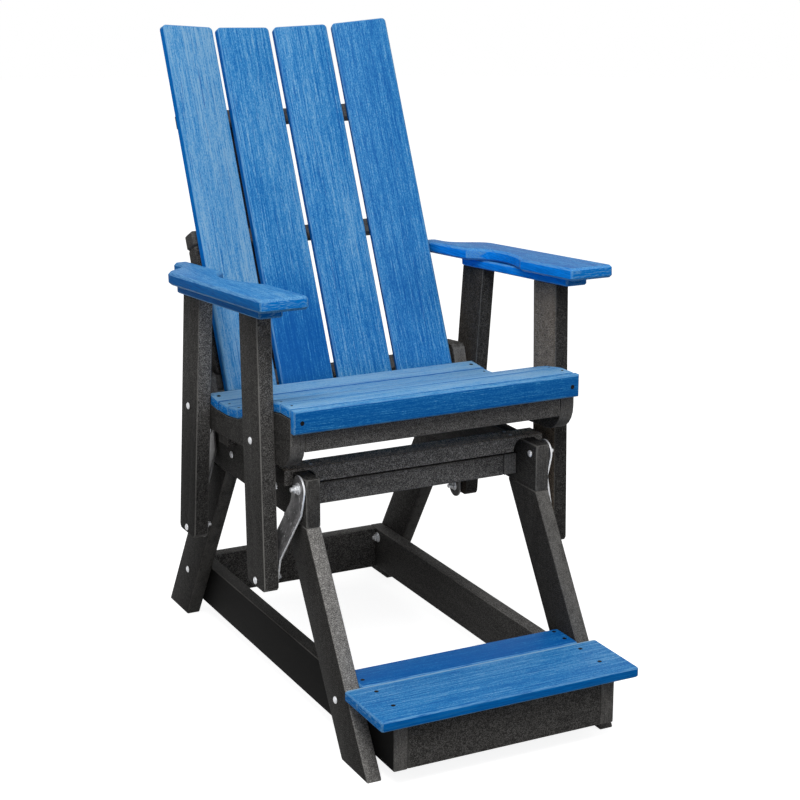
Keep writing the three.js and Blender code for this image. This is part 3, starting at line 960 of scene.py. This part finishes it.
@dataclass(frozen=True)
class Turning:
    """A closed solid turned about Z: radius and height of each point, from the axis round to the axis."""

    profile: list[tuple[float, float]]
    steps: int = 24
    smooth: bool = True

    @classmethod
    def rod(cls, radius: float, start: float, height: float) -> Turning:
        """Return a plain disc or rod."""
        return cls([(0, start), (radius, start), (radius, start + height), (0, start + height)])

    def cut(self, solid: Solid, where: Matrix) -> None:
        """Add the turned solid to a shape.

        Args:
            solid: the shape to add to.
            where: the turned solid's place.
        """
        rings = []
        for radius, height in self.profile:
            angles = [2 * math.pi * step / self.steps for step in range(self.steps if radius else 1)]
            turns = [(radius * math.cos(angle), radius * math.sin(angle)) for angle in angles]
            rings.append([solid.verts.new(where @ Vector((*turn, height))) for turn in turns])
        for lower, upper in zip(rings, rings[1:]):
            for step in range(self.steps):
                ways = ((lower, step), (lower, step + 1), (upper, step + 1), (upper, step))
                # A ring on the axis is one point, which a face takes only once
                around = dict.fromkeys(ring[place % len(ring)] for ring, place in ways)
                solid.faces.new(list(around)).smooth = self.smooth


@dataclass(frozen=True)
class Spot:
    """Where a fastener sits: the middle of its seat, the way it looks and the body that carries it."""

    place: Vector
    axis: Vector
    body: str


def finished(solid: Solid, name: str) -> bpy.types.Mesh:
    """Turn a shape into a mesh with its faces pointing out.

    Args:
        solid: the shape, which is freed.
        name: the new mesh's name.

    Returns:
        The new mesh.
    """
    bmesh.ops.recalc_face_normals(solid, faces=solid.faces[:])
    mesh = bpy.data.meshes.new(name)
    solid.to_mesh(mesh)
    solid.free()
    return mesh


@dataclass
class Fasteners:
    """Round bolt heads, hex nuts and countersunk screws, each seated on the board that carries it."""

    shop: Workshop
    seat: float = 0.1 * MM
    head_radius: float = 7.6 * MM
    head_height: float = 4.0 * MM
    head_foot_share: float = 0.97
    dome_start_share: float = 0.2
    dome_steps: int = 8
    washer_radius: float = 12.5 * MM
    washer_height: float = 1.6 * MM
    washer_ease_share: float = 0.25
    nut_width: float = 14.3 * MM
    nut_height: float = 7.5 * MM
    nut_sides: int = 6
    nut_face_share: float = 0.94
    nut_ease_share: float = 0.12
    stub_radius: float = 4.7 * MM
    stub_length: float = 5.0 * MM
    thread_pitch: float = 1.4 * MM
    thread_root_share: float = 0.84
    thread_flank_share: float = 0.5
    thread_end_shares: tuple[float, float] = (0.8, 0.3)
    thread_steps: int = 18
    pivot_head_radius: float = 7.4 * MM
    pivot_head_height: float = 4.6 * MM
    pivot_end: float = 13.3 * MM
    pivot_washer_start: float = 32.05 * MM
    pivot_washer_height: float = 1.4 * MM
    pivot_stub: float = 7.5 * MM
    screw_radius: float = 4.6 * MM
    screw_rise: float = 0.5 * MM
    screw_depth: float = 3.4 * MM
    screw_taper: float = 3.2 * MM
    screw_shares: tuple[float, float] = (0.5, 0.92)
    screw_steps: int = 20
    drive_floor: float = 0.12 * MM
    drive_radius: float = 1.9 * MM
    drive_share: float = 0.8

    def head(self, radius: float, height: float) -> Turning:
        """Shape a round head.

        Args:
            radius: the head's radius.
            height: its height.

        Returns:
            The head, on its seat.
        """
        low = self.dome_start_share
        angles = [QUARTER * step / self.dome_steps for step in range(self.dome_steps)]
        dome = [(radius * math.cos(angle), height * (low + (1 - low) * math.sin(angle))) for angle in angles]
        foot = radius * self.head_foot_share
        return Turning([(0, -self.seat), (foot, -self.seat), *dome, (0, height)])

    def washer_and_nut(self, stub: float) -> list[Turning]:
        """Shape a washer, a hex nut and a threaded end.

        Args:
            stub: how far the thread stands out of the nut.

        Returns:
            The three, on the washer's seat.
        """
        rim = self.washer_radius
        foot = self.washer_height
        edge = foot * self.washer_ease_share
        washer = [(0, -self.seat), (rim, -self.seat), (rim, foot - edge), (rim - edge, foot), (0, foot)]
        reach = self.nut_width / math.sqrt(3)
        flat = reach * self.nut_face_share
        top = foot + self.nut_height
        ease = self.nut_height * self.nut_ease_share
        hexagon = [(0, foot), (flat, foot), (reach, foot + ease), (reach, top - ease), (flat, top), (0, top)]
        radius = self.stub_radius
        pitch = self.thread_pitch
        turns = int(stub / pitch)
        thread = [(0, top - self.seat), (radius, top - self.seat)]
        for turn in range(turns):
            thread.append((radius * self.thread_root_share, top + (turn + self.thread_flank_share) * pitch))
            thread.append((radius, top + (turn + 1) * pitch))
        narrow, rise = self.thread_end_shares
        end = top + (turns + rise) * pitch
        thread += [(radius * narrow, end), (0, end)]
        return [Turning(washer), Turning(hexagon, self.nut_sides, False), Turning(thread, self.thread_steps)]

    def add(self, name: str, spot: Spot, turnings: list[Turning], dark: bool = False) -> None:
        """Add a fastener.

        Args:
            name: the piece's name.
            spot: where it sits.
            turnings: its solids.
            dark: whether it is blackened.
        """
        solid = bmesh.new()
        for turning in turnings:
            turning.cut(solid, facing(spot.place, spot.axis))
        finish, slot = (self.shop.dark, "black_board") if dark else (self.shop.bright, "zinc_steel")
        self.shop.add(name, solid, finish, slot, spot.body)

    def bolt_head(self, name: str, spot: Spot) -> None:
        """Add a round bolt head."""
        self.add(name, spot, [self.head(self.head_radius, self.head_height)])

    def nut(self, name: str, spot: Spot) -> None:
        """Add a washer, a hex nut and the threaded end that stands out of it."""
        self.add(name, spot, self.washer_and_nut(self.stub_length))

    def screw(self, name: str, spot: Spot, kind: Screw = Screw.DARK) -> None:
        """Add a countersunk screw head with a recessed drive.

        Args:
            name: the piece's name.
            spot: where it sits.
            kind: which screw it is.
        """
        share, dark = kind.value
        wide = self.screw_radius * share
        drive = self.drive_radius * share
        neck, crown = self.screw_shares
        profile = [
            (0, -self.screw_depth),
            (wide * neck, -self.screw_taper),
            (wide, 0),
            (wide * crown, self.screw_rise),
            (drive, self.screw_rise),
            (drive * self.drive_share, self.drive_floor),
            (0, self.drive_floor),
        ]
        self.add(name, spot, [Turning(profile, self.screw_steps, False)], dark)

    def many(self, make: Callable[..., None], name: str, spots: Iterable[Spot], **options: object) -> None:
        """Add several fasteners of one kind.

        Args:
            make: the method that adds one.
            name: the start of each piece's name.
            spots: where they sit.
            options: what else the method takes.
        """
        for count, spot in enumerate(spots, 1):
            make(f"{name}_{count}", spot, **options)

    def through(self, side: Side, word: str, boards: tuple[str, str], rows: Iterable[tuple[float, float]],
                body: str) -> None:
        """Add bolts through two boards: heads on the outer one and nuts on the inner one.

        Args:
            side: the side of the chair.
            word: the bolts' word in the pieces' names.
            boards: the outer board and the inner one.
            rows: Y and Z of each bolt.
            body: the body that carries them.
        """
        outer, inner = boards
        heads = [Spot(Vector((side.outer(outer), *row)), side.out, body) for row in rows]
        nuts = [Spot(Vector((side.inner(inner), *row)), -side.out, body) for row in rows]
        self.many(self.bolt_head, f"{side.word}_{word}_bolt", heads)
        self.many(self.nut, f"{side.word}_{word}_nut", nuts)

    def pivot_bolt(self, node: str, outwards: Vector, body: str) -> None:
        """Make the detailed pivot bolt that stands for a packed one.

        Args:
            node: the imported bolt's name.
            outwards: the way that its thread points.
            body: the body that carries it.
        """
        low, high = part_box(node)
        rise = self.pivot_head_height
        middle = (low + high) / 2
        head = Vector((low.x if outwards.x > 0 else high.x, middle.y, middle.z)) + outwards * rise
        shank = high.x - low.x - rise - self.pivot_end
        solid = bmesh.new()
        self.head(self.pivot_head_radius, rise).cut(solid, facing(head, -outwards))
        along = facing(head, outwards)
        Turning.rod(self.stub_radius, 0, shank).cut(solid, along)
        Turning.rod(self.washer_radius, self.pivot_washer_start, self.pivot_washer_height).cut(solid, along)
        for turning in self.washer_and_nut(self.pivot_stub):
            turning.cut(solid, facing(head + outwards * shank, outwards))
        piece = self.shop.add(f"{node}_detail", solid, self.shop.bright, "zinc_steel", body)
        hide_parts(node)


@dataclass
class Stand:
    """The fixed base: two raked side frames, low rails, footrest, tie rail and stop boards."""

    shop: Workshop
    fasteners: Fasteners
    stops: tuple[str, str] = ("front_stop_board", "rear_stop_board")
    # Painted sheen of the footrest's front board, and painted shade over its rear board
    footrest_front: Wear = Wear(-0.15)
    footrest_rear: Wear = Wear(-0.56)
    leg_bolt_height: float = 118 * MM
    front_bolt_setback: float = 141 * MM
    rear_bolt_setback: float = 131 * MM
    rail_bolts: tuple[tuple[float, float], ...] = ((-86 * MM, 480 * MM), (156 * MM, 480 * MM))
    front_screw_places: tuple[float, float] = (61 * MM, 133 * MM)
    rear_screw_places: tuple[float, float] = (29 * MM, 70 * MM)
    fit_gap: float = 0.3 * MM
    arch_reach: float = 19 * MM
    arch_steps: int = 10
    stop_screw_inset: float = 16 * MM
    stop_screw_places: tuple[float, float] = (20 * MM, 46 * MM)

    def build(self) -> None:
        """Dress the stand's boards and add its fasteners."""
        self.dress()
        for side in Side:
            self.fasten_side(side)
        self.fasten_boards()

    def dress(self) -> None:
        """Give every board of the stand its finish."""
        shop = self.shop
        for side in Side:
            word = side.word
            shop.black_board(f"{word}_top_rail", Lie.ON_EDGE_ALONG)
            shop.black_board(f"{word}_base_rail", Lie.ON_EDGE_ALONG)
            shop.black_board(f"{word}_front_leg", Lie.UPRIGHT)
            shop.black_board(f"{word}_rear_leg", Lie.UPRIGHT)
            shop.black_board(f"{word}_front_cleat", Lie.ON_EDGE_ALONG)
        for name in ("rear_cross_rail", "footrest_cross_rail", "front_tie_rail"):
            shop.black_board(name, Lie.ON_EDGE_ACROSS)
        for name in self.stops:
            self.build_stop_board(name)
        # A painted highlight along the front board's rear arris, and a painted shade line along the rear
        # board's front seam
        front = replace(self.footrest_front, pale_seam=shop.top_face("footrest_front_board").rear.y)
        rear = replace(self.footrest_rear, dark_seam=shop.top_face("footrest_rear_board").front.y)
        shop.blue_board("footrest_front_board", Lie.FLAT_ACROSS, front)
        shop.blue_board("footrest_rear_board", Lie.FLAT_ACROSS, rear)

    def build_stop_board(self, name: str) -> None:
        """Make the stop board that stands for a packed one, with an arch over each top rail.

        Args:
            name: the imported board's name.
        """
        low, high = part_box(name)
        rail_low, rail_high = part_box("right_top_rail")
        lip = rail_high.z + self.fit_gap
        foot = rail_low.x - self.arch_reach
        half = [(foot, low.z)]
        for step in range(1, self.arch_steps + 1):
            angle = QUARTER * step / self.arch_steps
            height = low.z + (lip - low.z) * math.sin(angle)
            half.append((foot + self.arch_reach * (1 - math.cos(angle)), height))
        block = rail_high.x + self.fit_gap
        half += [(block, lip), (block, low.z), (high.x, low.z), (high.x, high.z)]
        outline = half + [(-x, z) for x, z in reversed(half)]
        solid = bmesh.new()
        face = solid.faces.new([solid.verts.new((x, low.y, z)) for x, z in outline])
        grown = bmesh.ops.extrude_face_region(solid, geom=[face])
        moved = [item for item in grown["geom"] if isinstance(item, bmesh.types.BMVert)]
        bmesh.ops.translate(solid, verts=moved, vec=(0, high.y - low.y, 0))
        finish = self.shop.black_finish(name, Lie.FLAT_ACROSS)
        board = self.shop.add(f"{name}_arched", solid, finish, "black_board", "stand")
        self.shop.softener.soften(board)
        self.shop.made += 1
        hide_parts(name)

    def fasten_side(self, side: Side) -> None:
        """Add the bolts that join one side frame to its rails.

        Args:
            side: the side of the chair.
        """
        leg = f"{side.word}_front_leg"
        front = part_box(leg)[0].y + self.front_bolt_setback
        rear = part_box(f"{side.word}_rear_leg")[1].y - self.rear_bolt_setback
        rows = [(y, self.leg_bolt_height) for y in (front, rear)]
        self.fasteners.through(side, "leg", (leg, f"{side.word}_base_rail"), rows, "stand")
        spots = [Spot(Vector((side.outer(leg), *row)), side.out, "stand") for row in self.rail_bolts]
        self.fasteners.many(self.fasteners.bolt_head, f"{side.word}_rail_bolt", spots)

    def fasten_boards(self) -> None:
        """Add two screws at each end of the footrest boards, over the base rails, and of the stop boards."""
        rail_low, rail_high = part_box("right_base_rail")
        over_rail = (rail_low.x + rail_high.x) / 2
        beside_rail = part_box("right_top_rail")[0].x - self.stop_screw_inset
        rows = [
            ("footrest_front_board", over_rail, self.front_screw_places, Screw.DARK),
            ("footrest_rear_board", over_rail, self.rear_screw_places, Screw.DARK),
            *((name, beside_rail, self.stop_screw_places, Screw.BRIGHT) for name in self.stops),
        ]
        for name, reach, row, kind in rows:
            low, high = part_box(name)
            places = [Vector((side.value * reach, low.y + y, high.z)) for side in Side for y in row]
            spots = [Spot(place, UP, "stand") for place in places]
            self.fasteners.many(self.fasteners.screw, f"{name}_screw", spots, kind=kind)


@dataclass
class Mechanism:
    """The four swinging links and the eight pivot bolts."""

    shop: Workshop
    fasteners: Fasteners
    # Painted reflection and shade: the front links' plating is painted dark as the dark boards that it
    # mirrors, and the rear links' darker still as painted shade
    front: ZincSteel = ZincSteel((0.24, 0.235, 0.24), (0.12, 0.118, 0.122), smoothest=0.3)
    rear: ZincSteel = ZincSteel(
        (0.09, 0.088, 0.09), (0.04, 0.039, 0.04), (0.25, 0.25, 0.25), metal=0.1, smoothest=0.3
    )
    seed_step: float = 0.7

    def build(self) -> None:
        """Give the links their plating and make the detailed pivot bolts."""
        for side in Side:
            for row, finish in (("front", self.front), ("rear", self.rear)):
                link = f"{side.word}_{row}_link"
                self.shop.dress(link, finish.make(f"zinc_{link}", self.shop.made * self.seed_step))
                self.fasteners.pivot_bolt(f"{side.word}_{row}_top_pivot_bolt", side.out, "stand")
                self.fasteners.pivot_bolt(f"{side.word}_{row}_foot_pivot_bolt", -side.out, "seat")


@dataclass
class Seat:
    """The swinging seat: slats, rails, fascia, posts and arms."""

    shop: Workshop
    fasteners: Fasteners
    slats: int = 7
    # Painted sheen and shade of the seat's blue boards: the fascia painted deeper as shade, and the narrow
    # faces of the right arm and brace painted lighter where the light falls
    slat_wear: Wear = Wear(0.28, end=1.2)
    rear_board_wear: Wear = Wear(0.4, end=1.2)
    fascia_wear: Wear = Wear(-0.44, top_haze=0.1, end=1.3, shine=0.05)
    arm_wear: tuple[Wear, Wear] = (Wear(-0.1, end=1.1), Wear(-0.3, side=1.9, end=1.1))
    brace_wear: tuple[Wear, Wear] = (Wear(-0.4), Wear(-0.4, side=1.9))
    slat_ease: float = 1.6 * MM
    fascia_ease: float = 1.2 * MM
    slat_screw_inset: float = 15 * MM
    slat_screw_share: float = 0.5
    rear_screw_setback: float = 33 * MM
    fascia_screw_drop: float = 25 * MM
    fascia_screw_inset: float = 17 * MM
    post_bolts: tuple[tuple[float, float], ...] = ((-135 * MM, 598.7 * MM), (214 * MM, 584.4 * MM))

    def build(self) -> None:
        """Dress the seat's boards and add its fasteners."""
        self.dress()
        for side in Side:
            boards = (f"{side.word}_front_post", f"{side.word}_seat_rail")
            self.fasteners.through(side, "post", boards, self.post_bolts, "seat")
            self.screw_boards(side)

    def dress(self) -> None:
        """Give every board of the seat its finish."""
        shop = self.shop
        for count in range(1, self.slats + 1):
            name = f"seat_slat_{count}"
            top = shop.top_face(name)
            # Each slat after the first gets a painted highlight along its rear arris and a painted shade line
            # along its front seam
            seams = {"pale_seam": top.rear.y, "dark_seam": top.front.y} if count > 1 else {}
            shop.blue_board(name, Lie.FLAT_ACROSS, replace(self.slat_wear, **seams), self.slat_ease)
        # The rear board gets a painted shade line along its front seam
        rear_shading = replace(self.rear_board_wear, dark_seam=shop.top_face("seat_rear_board").front.y)
        shop.blue_board("seat_rear_board", Lie.FLAT_ACROSS, rear_shading)
        shop.blue_board("seat_fascia", Lie.ON_EDGE_ACROSS, self.fascia_wear, self.fascia_ease)
        shop.black_board("front_seat_rail", Lie.ON_EDGE_ACROSS)
        for side, arm, brace in zip(Side, self.arm_wear, self.brace_wear):
            word = side.word
            shop.black_board(f"{word}_seat_rail", Lie.ON_EDGE_ALONG)
            shop.black_board(f"{word}_front_post", Lie.UPRIGHT)
            shop.black_board(f"{word}_rear_post", Lie.UPRIGHT)
            shop.blue_board(f"{word}_arm", Lie.FLAT_ALONG, arm)
            shop.blue_board(f"{word}_arm_brace", Lie.FLAT_ALONG, brace)

    def screw_boards(self, side: Side) -> None:
        """Add one side's screws: in the fascia, in each slat and in the rear board.

        Args:
            side: the side of the chair.
        """
        screw = self.fasteners.screw
        low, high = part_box("seat_fascia")
        reach = side.value * (high.x - self.fascia_screw_inset)
        place = Vector((reach, low.y, high.z - self.fascia_screw_drop))
        screw(f"{side.word}_fascia_screw", Spot(place, AHEAD, "seat"))
        reach = side.value * (high.x - self.slat_screw_inset)
        for count in range(1, self.slats + 1):
            top = self.shop.top_face(f"seat_slat_{count}")
            spot = Spot(top.at(reach, self.slat_screw_share), top.normal, "seat")
            screw(f"{side.word}_slat_screw_{count}", spot, Screw.SMALL)
        top = self.shop.top_face("seat_rear_board")
        share = self.rear_screw_setback / (top.rear.y - top.front.y)
        screw(f"{side.word}_rear_board_screw", Spot(top.at(reach, share), top.normal, "seat"))


@dataclass
class Back:
    """The reclined back: four slats on a curve, three braces, stringers and uprights."""

    shop: Workshop
    # Painted light of each back slat, with a painted shadow of the arms over the low part of slats 2 to 4
    wears: tuple[Wear, ...] = (
        Wear(0.2, side=1.25),
        Wear(-0.06, side=1.25, fade=0.19),
        Wear(-0.08, side=1.25, fade=0.02),
        Wear(-0.17, side=1.25, fade=0.03),
    )
    brace_ease: float = 2.6 * MM

    def build(self) -> None:
        """Give every board of the back its finish."""
        shop = self.shop
        for count, wear in enumerate(self.wears, 1):
            shop.blue_board(f"back_slat_{count}", Lie.BACK_SLAT, wear)
        for name in ("top_brace", "middle_brace", "lower_brace"):
            shop.black_board(name, Lie.ON_EDGE_ACROSS, self.brace_ease)
        for side in Side:
            shop.black_board(f"{side.word}_stringer", Lie.BACK_UPRIGHT, self.brace_ease)
            shop.black_board(f"{side.word}_back_upright", Lie.BACK_UPRIGHT)


@dataclass
class Studio:
    """A plain pale floor, soft lamps and the camera at the photograph's viewing angle."""

    camera_place: tuple[float, float, float] = (-1.6816, -3.39506, 1.63934)
    camera_turn: float = -26.9885
    camera_pitch: float = -15.2565
    camera_roll: float = 0.0812
    focal_pixels: float = 1838.68
    photo_pixels: float = 800
    sensor: float = 36.0
    floor_reach: float = 14.0
    floor_steps: int = 64
    floor_tone: Colour = (0.25, 0.25, 0.25)
    floor_roughness: float = 0.9
    shown_tone: Colour = (0.55, 0.55, 0.55)
    shown_glow: float = 0.87
    white: Colour = (1.0, 1.0, 1.0)
    sky: float = 0.36
    key_place: tuple[float, float, float] = (-1.3, -2.2, 4.2)
    key_power: float = 140.0
    fill_place: tuple[float, float, float] = (2.8, -3.2, 2.6)
    fill_power: float = 9.0
    lamp_size: float = 2.2
    aim: tuple[float, float, float] = (0.0, 0.0, 0.6)

    def build(self) -> None:
        """Make the floor, the world, the lamps and the camera."""
        self.build_floor()
        self.build_world()
        self.build_lamp("key_lamp", self.key_place, self.key_power)
        self.build_lamp("fill_lamp", self.fill_place, self.fill_power)
        self.build_camera()

    def build_floor(self) -> None:
        """Make the floor, which stays white to the camera and keeps the chair's shadow."""
        circle = bmesh.new()
        bmesh.ops.create_circle(circle, cap_ends=True, segments=self.floor_steps, radius=self.floor_reach)
        mesh = finished(circle, "floor")
        floor = bpy.data.objects.new("floor", mesh)
        bpy.context.scene.collection.objects.link(floor)
        blank = Blank.start("pale_floor")
        nodes = blank.nodes
        nodes.fill(blank.shader, Base_Color=self.floor_tone, Roughness=self.floor_roughness)
        glow = nodes.out("ShaderNodeEmission", Strength=self.shown_glow)
        matt = nodes.out("ShaderNodeBsdfDiffuse", self.shown_tone)
        both = nodes.out("ShaderNodeAddShader", glow, matt)
        surface = shown_white(nodes, blank.shader.outputs[0], both)
        nodes.feed(nodes.tree.nodes["Material Output"].inputs["Surface"], surface)
        mesh.materials.append(blank.material)

    def build_world(self) -> None:
        """Make the world: white where it is seen, and a plain soft sky as light."""
        world = bpy.data.worlds.new("plain_sky")
        bpy.context.scene.world = world
        world.use_nodes = True
        nodes = Nodes(world.node_tree)
        sky = nodes.tree.nodes["Background"]
        nodes.fill(sky, Color=self.white, Strength=self.sky)
        white = nodes.out("ShaderNodeBackground", self.white, 1.0)
        surface = shown_white(nodes, sky.outputs[0], white)
        nodes.feed(nodes.tree.nodes["World Output"].inputs["Surface"], surface)

    def build_lamp(self, name: str, place: tuple[float, float, float], power: float) -> None:
        """Make a soft square lamp that looks at the seat.

        Args:
            name: the lamp's name.
            place: where it hangs.
            power: its power in watts.
        """
        light = bpy.data.lights.new(name, "AREA")
        light.energy = power
        light.size = self.lamp_size
        lamp = bpy.data.objects.new(name, light)
        lamp.location = place
        lamp.rotation_euler = (Vector(self.aim) - Vector(place)).to_track_quat("-Z", "Y").to_euler()
        bpy.context.scene.collection.objects.link(lamp)

    def build_camera(self) -> None:
        """Make the camera at the photograph's viewing angle."""
        data = bpy.data.cameras.new("camera")
        data.sensor_width = self.sensor
        data.lens = self.focal_pixels / self.photo_pixels * self.sensor
        camera = bpy.data.objects.new("camera", data)
        turn = Matrix.Rotation(math.radians(self.camera_turn), 4, "Z")
        pitch = Matrix.Rotation(QUARTER + math.radians(self.camera_pitch), 4, "X")
        roll = Matrix.Rotation(math.radians(self.camera_roll), 4, "Z")
        camera.matrix_world = Matrix.Translation(self.camera_place) @ turn @ pitch @ roll
        bpy.context.scene.collection.objects.link(camera)
        bpy.context.scene.camera = camera


def shown_white(nodes: Nodes, hidden: Socket, shown: Socket) -> Socket:
    """Mix the shader that lights the chair with the one that shows the white background.

    Args:
        nodes: the material's or the world's node helper.
        hidden: the shader for the light that falls on the chair.
        shown: the shader for rays from the camera, mirrored rays and rays through glass.

    Returns:
        The mixed shader's socket.
    """
    path = nodes.add("ShaderNodeLightPath")
    seen = path.outputs["Is Camera Ray"]
    for ray in ("Is Glossy Ray", "Is Transmission Ray"):
        seen = nodes.maths("MAXIMUM", seen, path.outputs[ray])
    return nodes.out("ShaderNodeMixShader", seen, hidden, shown)


def main() -> None:
    """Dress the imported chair, add its fasteners and set up the studio."""
    logging.basicConfig(level=logging.INFO, format="%(name)s: %(message)s")
    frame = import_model()
    scene = bpy.context.scene
    scene.view_settings.view_transform = "Standard"
    shop = Workshop(frame["nodes"])
    fasteners = Fasteners(shop)
    fastened = [kind(shop, fasteners) for kind in (Stand, Mechanism, Seat)]
    for part in (*fastened, Back(shop), Studio()):
        part.build()
        LOG.info("built the %s", type(part).__name__.lower())


if __name__ == "__main__":
    main()
